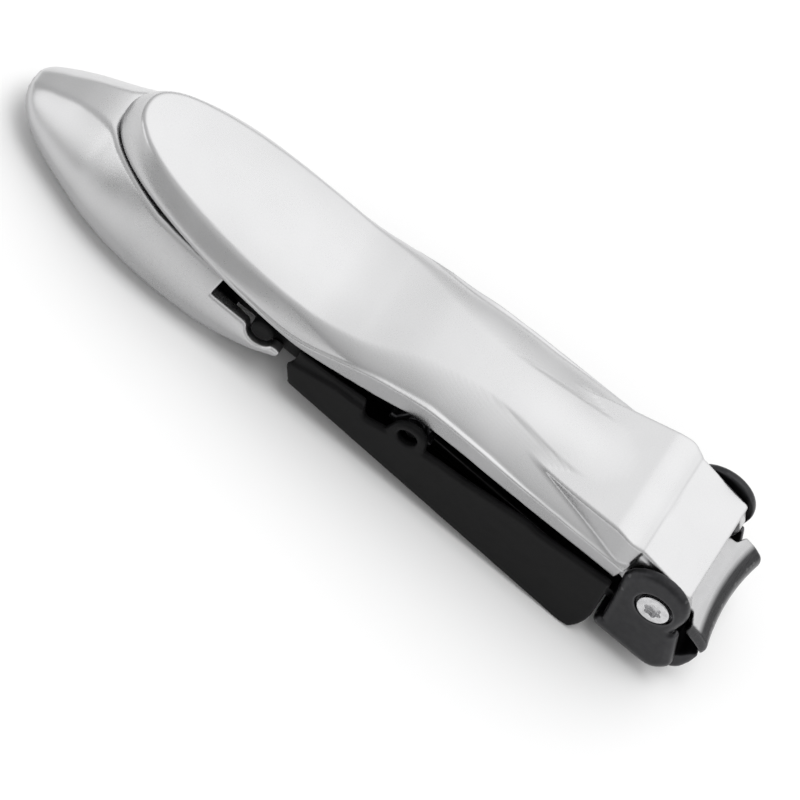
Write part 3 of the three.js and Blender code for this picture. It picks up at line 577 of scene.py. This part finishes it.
class Finish:
    """A material under construction: a Principled shader and the nodes that feed it."""

    def __init__(self, name, **values):
        self.material = bpy.data.materials.new(name)
        self.material.use_nodes = True
        self.nodes = self.material.node_tree.nodes
        self.links = self.material.node_tree.links
        self.shader = self.nodes["Principled BSDF"]
        for socket, value in values.items():
            self.shader.inputs[socket.replace("_", " ")].default_value = value
        self.coordinates = self.nodes.new("ShaderNodeTexCoord")

    def scaled(self, stretch):
        """Object coordinates in millimetres, stretched along each axis."""
        mapping = self.nodes.new("ShaderNodeMapping")
        mapping.inputs["Scale"].default_value = [s / MM for s in stretch]
        self.links.new(self.coordinates.outputs["Object"], mapping.inputs["Vector"])
        return mapping.outputs["Vector"]

    def noise(self, scale, detail=3.0, stretch=(1, 1, 1), distortion=0.0):
        node = self.nodes.new("ShaderNodeTexNoise")
        node.inputs["Scale"].default_value = scale
        node.inputs["Detail"].default_value = detail
        node.inputs["Distortion"].default_value = distortion
        self.links.new(self.scaled(stretch), node.inputs["Vector"])
        return node.outputs["Fac"]

    def between(self, value, low, high, from_low=0.3, from_high=0.7):
        node = self.nodes.new("ShaderNodeMapRange")
        for socket, number in zip(
            ("From Min", "From Max", "To Min", "To Max"), (from_low, from_high, low, high)
        ):
            node.inputs[socket].default_value = number
        self.links.new(value, node.inputs["Value"])
        return node.outputs["Result"]

    def math(self, operation, one, two):
        node = self.nodes.new("ShaderNodeMath")
        node.operation = operation
        for socket, value in zip(node.inputs, (one, two)):
            if isinstance(value, (int, float)):
                socket.default_value = value
            else:
                self.links.new(value, socket)
        return node.outputs["Value"]

    def colour(self, value, low, high):
        node = self.nodes.new("ShaderNodeMix")
        node.data_type = "RGBA"
        node.inputs["A"].default_value = (*low, 1)
        node.inputs["B"].default_value = (*high, 1)
        self.links.new(value, node.inputs["Factor"])
        return node.outputs["Result"]

    def edges(self, low=0.5, high=0.56):
        """1 along convex edges, 0 on flat faces."""
        pointiness = self.nodes.new("ShaderNodeNewGeometry").outputs["Pointiness"]
        return self.between(pointiness, 0, 1, low, high)

    def upward(self, low, high):
        """0 where a face's normal rises by less than low, 1 where it rises by more than high."""
        split = self.nodes.new("ShaderNodeSeparateXYZ")
        self.links.new(self.coordinates.outputs["Normal"], split.inputs["Vector"])
        return self.between(split.outputs["Z"], 0, 1, low, high)

    def feed(self, socket, value):
        self.links.new(value, self.shader.inputs[socket])

    def bump(self, height, depth_mm, strength=1.0):
        node = self.nodes.new("ShaderNodeBump")
        node.inputs["Strength"].default_value = strength
        node.inputs["Distance"].default_value = depth_mm * MM
        self.links.new(height, node.inputs["Height"])
        self.feed("Normal", node.outputs["Normal"])


def pearl():
    """Satin pearl silver on cast metal: fine flake, faint clouding, and painted shade: its base
    colour is darker on the undersides.
    """
    finish = Finish("pearl_silver", Metallic=1.0)
    cloud = finish.noise(0.12, 2.0)
    flake = finish.noise(7.0, 2.0)
    tone = finish.math("ADD", finish.between(cloud, 0, 0.15), finish.between(flake, 0, 0.1))
    # painted shade: faces that turn down get a darker base colour, faces that turn up a lighter
    # one
    painted_underside_shade = finish.math("MULTIPLY", finish.upward(0.1, 0.55), 0.75)
    tone = finish.math("ADD", tone, painted_underside_shade)
    finish.feed("Base Color", finish.colour(tone, (0.36, 0.36, 0.364), (0.67, 0.67, 0.675)))
    sparkle = finish.between(flake, -0.02, 0.02)
    finish.feed("Roughness", finish.math("ADD", finish.between(cloud, 0.27, 0.32), sparkle))
    finish.bump(flake, 0.004)
    return finish.material


def black_plastic():
    """Spark-eroded moulded plastic, a little paler and rougher in patches drawn out along its
    length.
    """
    finish = Finish("black_plastic", Specular_IOR_Level=0.07)
    grain = finish.noise(5.0, 4.0)
    rub = finish.noise(0.35, 5.0, (1, 2.5, 2.5), 0.4)
    tone = finish.between(rub, 0, 1)
    finish.feed("Base Color", finish.colour(tone, (0.005, 0.005, 0.0053), (0.009, 0.009, 0.0093)))
    finish.feed("Roughness", finish.between(rub, 0.36, 0.48))
    finish.bump(grain, 0.015)
    return finish.material


def black_steel():
    """Black oxide on pressed steel: faint mottling, rolled grain, bare metal at the edges."""
    finish = Finish("black_steel", Metallic=0.85)
    mottle = finish.noise(1.1, 5.0)
    grain = finish.noise(2.5, 3.0, (0.25, 1, 3.0))
    worn = finish.math("MULTIPLY", finish.edges(), 0.5)
    tone = finish.math("ADD", finish.between(mottle, 0, 0.1), worn)
    finish.feed("Base Color", finish.colour(tone, (0.022, 0.022, 0.024), (0.13, 0.13, 0.135)))
    finish.feed("Roughness", finish.between(mottle, 0.30, 0.40))
    finish.bump(grain, 0.006)
    return finish.material


GROUND_AND_SHEEN_END = (44.3, 45.0)               # where the jaw's bright top, partly from grinding and partly a painted reflection, fades into its dark front roll


def jaw_steel():
    """Tool steel, bright from grinding on top of the jaw and left dark on its front roll and its
    arm; the bright top is partly a painted reflection, lighter only where faces turn up.
    """
    finish = Finish("jaw_steel", Metallic=1.0)
    lines = finish.noise(4.0, 4.0, (3.0, 0.12, 3.0))
    mottle = finish.noise(0.8, 3.0)
    split = finish.nodes.new("ShaderNodeSeparateXYZ")
    finish.links.new(finish.scaled((1, 1, 1)), split.inputs["Vector"])
    bow = finish.math("MULTIPLY", split.outputs["Y"], split.outputs["Y"])
    bow = finish.math("MULTIPLY", bow, -JAW_SAGITTA / JAW_HALF_WIDTH**2)
    front = finish.math("ADD", split.outputs["X"], bow)
    # painted reflection: the lighter colour of the top, kept to faces that turn up, stands in
    # partly for the sky's reflection on the jaw's top
    behind = finish.between(front, 1, 0, *GROUND_AND_SHEEN_END)
    ground_and_painted_sheen = finish.math("MULTIPLY", behind, finish.upward(0.4, 0.8))
    worn = finish.math("MULTIPLY", finish.edges(), 0.15)
    tone = finish.math("ADD", finish.between(lines, 0, 0.08), finish.math("MAXIMUM", ground_and_painted_sheen, worn))
    finish.feed("Base Color", finish.colour(tone, (0.04, 0.04, 0.042), (0.46, 0.46, 0.465)))
    finish.feed("Roughness", finish.between(mottle, 0.24, 0.32))
    finish.bump(lines, 0.005)
    return finish.material


def bright_steel():
    """Plated steel with fine turning marks."""
    finish = Finish("bright_steel", Metallic=1.0)
    lines = finish.noise(6.0, 3.0, (1, 1, 1), 0.8)
    mottle = finish.noise(1.5, 3.0)
    tone = finish.between(mottle, 0, 1)
    finish.feed("Base Color", finish.colour(tone, (0.52, 0.52, 0.53), (0.70, 0.70, 0.71)))
    finish.feed("Roughness", finish.between(lines, 0.20, 0.32))
    finish.bump(lines, 0.008)
    return finish.material


# --- the pieces ----------------------------------------------------------------------------------

finishes = {
    "pearl_casting": pearl(),
    "black_plastic": black_plastic(),
    "black_steel": black_steel(),
    "jaw_steel": jaw_steel(),
    "bright_steel": bright_steel(),
}
COARSE, MEDIUM, FINE, FINEST = 0.2, 0.14, 0.1, 0.07  # grid pitches
yoke_rivet_z = arm_z(LOWER_ARM, YOKE_RIVET[0]) + ARM_THICKNESS + REST_GAP
bracket_base_z = arm_z(LOWER_ARM, BRACKET_REAR_X) + ARM_THICKNESS + BRACKET_GAP
bracket_rivet_z = bracket_base_z + BRACKET_THICKNESS + REST_GAP

plans = [
    ("lever", lever, ((-38.2, 42.6), (-9.3, 9.3), (7.5, 18.1)), MEDIUM),
    ("lever_cam_pin", cam_pin, ((33, 35.5), (-7, 7), (11.3, 13.7)), FINE),
    ("jaw_yoke", jaw_yoke, ((34.3, 46), (-9, 9), (1.9, 17.2)), MEDIUM),
    ("upper_jaw", upper_jaw, ((-22.6, 47.3), (-7, 7), (6.5, 11.9)), MEDIUM),
    ("lower_jaw", lower_jaw, ((-22.6, 47.3), (-7, 7), (2.6, 8.0)), MEDIUM),
    ("tail_shell", tail_shell, ((-47.8, -8.9), (-10.5, 10.5), (-2.1, 8.5)), COARSE),
    ("tail_anchor", tail_anchor, ((-27, -9.8), (-6.4, 6.4), (0, 7.9)), COARSE),
    ("catcher", catcher, ((-13.6, 35.6), (-9.6, 9.6), (-0.1, 11.5)), COARSE),
    ("catch_bracket", catch_bracket, ((4.2, 10.1), (-8.6, 8.6), (5.7, 10)), MEDIUM),
    ("bracket_rivet", headed((SNAP[0], 0), 4.0, bracket_rivet_z),
     ((5.2, 9.2), (-2, 2), (3.9, bracket_rivet_z + 0.8)), FINE),
]
for place, side in (("near", -1), ("far", 1)):
    reach = sorted((side * 6.0, side * 9.3))
    plans.append((
        f"pivot_screw_{place}", pivot_screw(side), ((37.2, 41.3), reach, (10.0, 14.2)), FINEST,
    ))
    reach = sorted((side * 5.0, side * 9.1))
    plans.append((
        f"catcher_hinge_pin_{place}", hinge_pin(side), ((-12.9, -11.1), reach, (4.8, 6.6)), FINE,
    ))
    y = side * YOKE_RIVET[1]
    plans.append((
        f"yoke_rivet_{place}", headed((YOKE_RIVET[0], y), YOKE_BOTTOM_Z, yoke_rivet_z),
        ((37.5, 41.5), (y - 2, y + 2), (1.9, yoke_rivet_z + 0.8)), FINE,
    ))
    y = side * ANCHOR_SCREW[1]
    plans.append((
        f"anchor_screw_{place}", headed((ANCHOR_SCREW[0], y), -1.0, 4.9, 0.85),
        ((-27.5, -23.5), (y - 2, y + 2), (-1.2, 5.7)), FINE,
    ))
for place, x in (("front", -14), ("rear", -20)):
    top = arm_z(UPPER_ARM, x) + ARM_THICKNESS + TILT_GAP
    plans.append((
        f"arm_rivet_{place}", headed((x, 0), 3.2, top, RIVET_RADIUS),
        ((x - 2, x + 2), (-2, 2), (3.1, top + 0.8)), FINE,
    ))
for node, field, box, pitch in plans:
    make(node, field, box, pitch, finishes[slot_of[node]])


# --- studio and camera ---------------------------------------------------------------------------

def studio():
    mesh = bpy.data.meshes.new("floor")
    reach = 1.5
    mesh.from_pydata(
        [(-reach, -reach, 0), (reach, -reach, 0), (reach, reach, 0), (-reach, reach, 0)],
        [], [(0, 1, 2, 3)],
    )
    floor = bpy.data.objects.new("floor", mesh)
    bpy.context.scene.collection.objects.link(floor)
    paint = Finish("floor_paint", Roughness=0.9, Specular_IOR_Level=0.1)
    grain = paint.noise(0.02, 2.0)
    paint.feed("Base Color", paint.colour(grain, (0.93, 0.93, 0.93), (0.95, 0.95, 0.95)))
    mesh.materials.append(paint.material)


def softbox(name, place, aim, size, watts, mirrored=True):
    """A rectangular lamp; one that is not mirrored lights the floor but leaves no highlight."""
    data = bpy.data.lights.new(name, "AREA")
    data.shape = "RECTANGLE"
    data.size, data.size_y = size
    data.energy = watts
    lamp = bpy.data.objects.new(name, data)
    bpy.context.scene.collection.objects.link(lamp)
    lamp.visible_glossy = mirrored
    lamp.location = place
    lamp.rotation_mode = "QUATERNION"
    lamp.rotation_quaternion = (Vector(aim) - Vector(place)).to_track_quat("-Z", "Y")


SKY_LEAN, SKY_STRENGTH = (0.3, 0.55, 0.8), 1.4
SKY = [(0.05, 0.28), (0.57, 0.47), (0.72, 0.54), (0.78, 0.61), (0.82, 0.72), (0.93, 1.0)]


def sky():
    """White overhead and behind, with a grey horizon in front."""
    world = bpy.data.worlds.new("studio")
    bpy.context.scene.world = world
    world.use_nodes = True
    nodes, links = world.node_tree.nodes, world.node_tree.links
    lean = nodes.new("ShaderNodeVectorMath")
    lean.operation = "DOT_PRODUCT"
    lean.inputs[1].default_value = SKY_LEAN
    links.new(nodes.new("ShaderNodeTexCoord").outputs["Generated"], lean.inputs[0])
    shift = nodes.new("ShaderNodeMapRange")
    shift.inputs["From Min"].default_value = -0.5
    shift.inputs["From Max"].default_value = 1.1
    links.new(lean.outputs["Value"], shift.inputs["Value"])
    ramp = nodes.new("ShaderNodeValToRGB")
    links.new(shift.outputs["Result"], ramp.inputs["Fac"])
    stops = ramp.color_ramp.elements
    while len(stops) < len(SKY):
        stops.new(0.5)
    for stop, (position, grey) in zip(stops, SKY):
        stop.position = position
        stop.color = (grey, grey, grey, 1)
    links.new(ramp.outputs["Color"], nodes["Background"].inputs["Color"])
    nodes["Background"].inputs["Strength"].default_value = SKY_STRENGTH


def camera():
    """A long lens at the clipper's left rear shoulder, looking down."""
    right = Vector((0.7769, 0.4558, 0.4344))
    up = Vector((-0.6196, 0.6757, 0.3993))
    back = right.cross(up).normalized()
    target = Vector((4.51, -6.14, 9.10)) * MM
    distance, view_width = 0.9, 86.02 * MM
    data = bpy.data.cameras.new("camera")
    data.sensor_width = 36
    data.lens = data.sensor_width * distance / view_width
    data.clip_start, data.clip_end = 0.05, 10
    eye = bpy.data.objects.new("camera", data)
    bpy.context.scene.collection.objects.link(eye)
    turn = Matrix((right, up, back)).transposed().to_4x4()
    eye.matrix_world = Matrix.Translation(target + back * distance) @ turn
    bpy.context.scene.camera = eye


studio()
sky()
softbox("overhead", (0.0, -0.1, 1.2), (0, 0, 0), (0.6, 0.6), 4.5, mirrored=False)
softbox("shoulder", (-0.40, -0.26, 0.18), (-0.03, 0, 0), (0.32, 0.20), 0.2)
camera()
bpy.context.scene.view_settings.view_transform = "Standard"
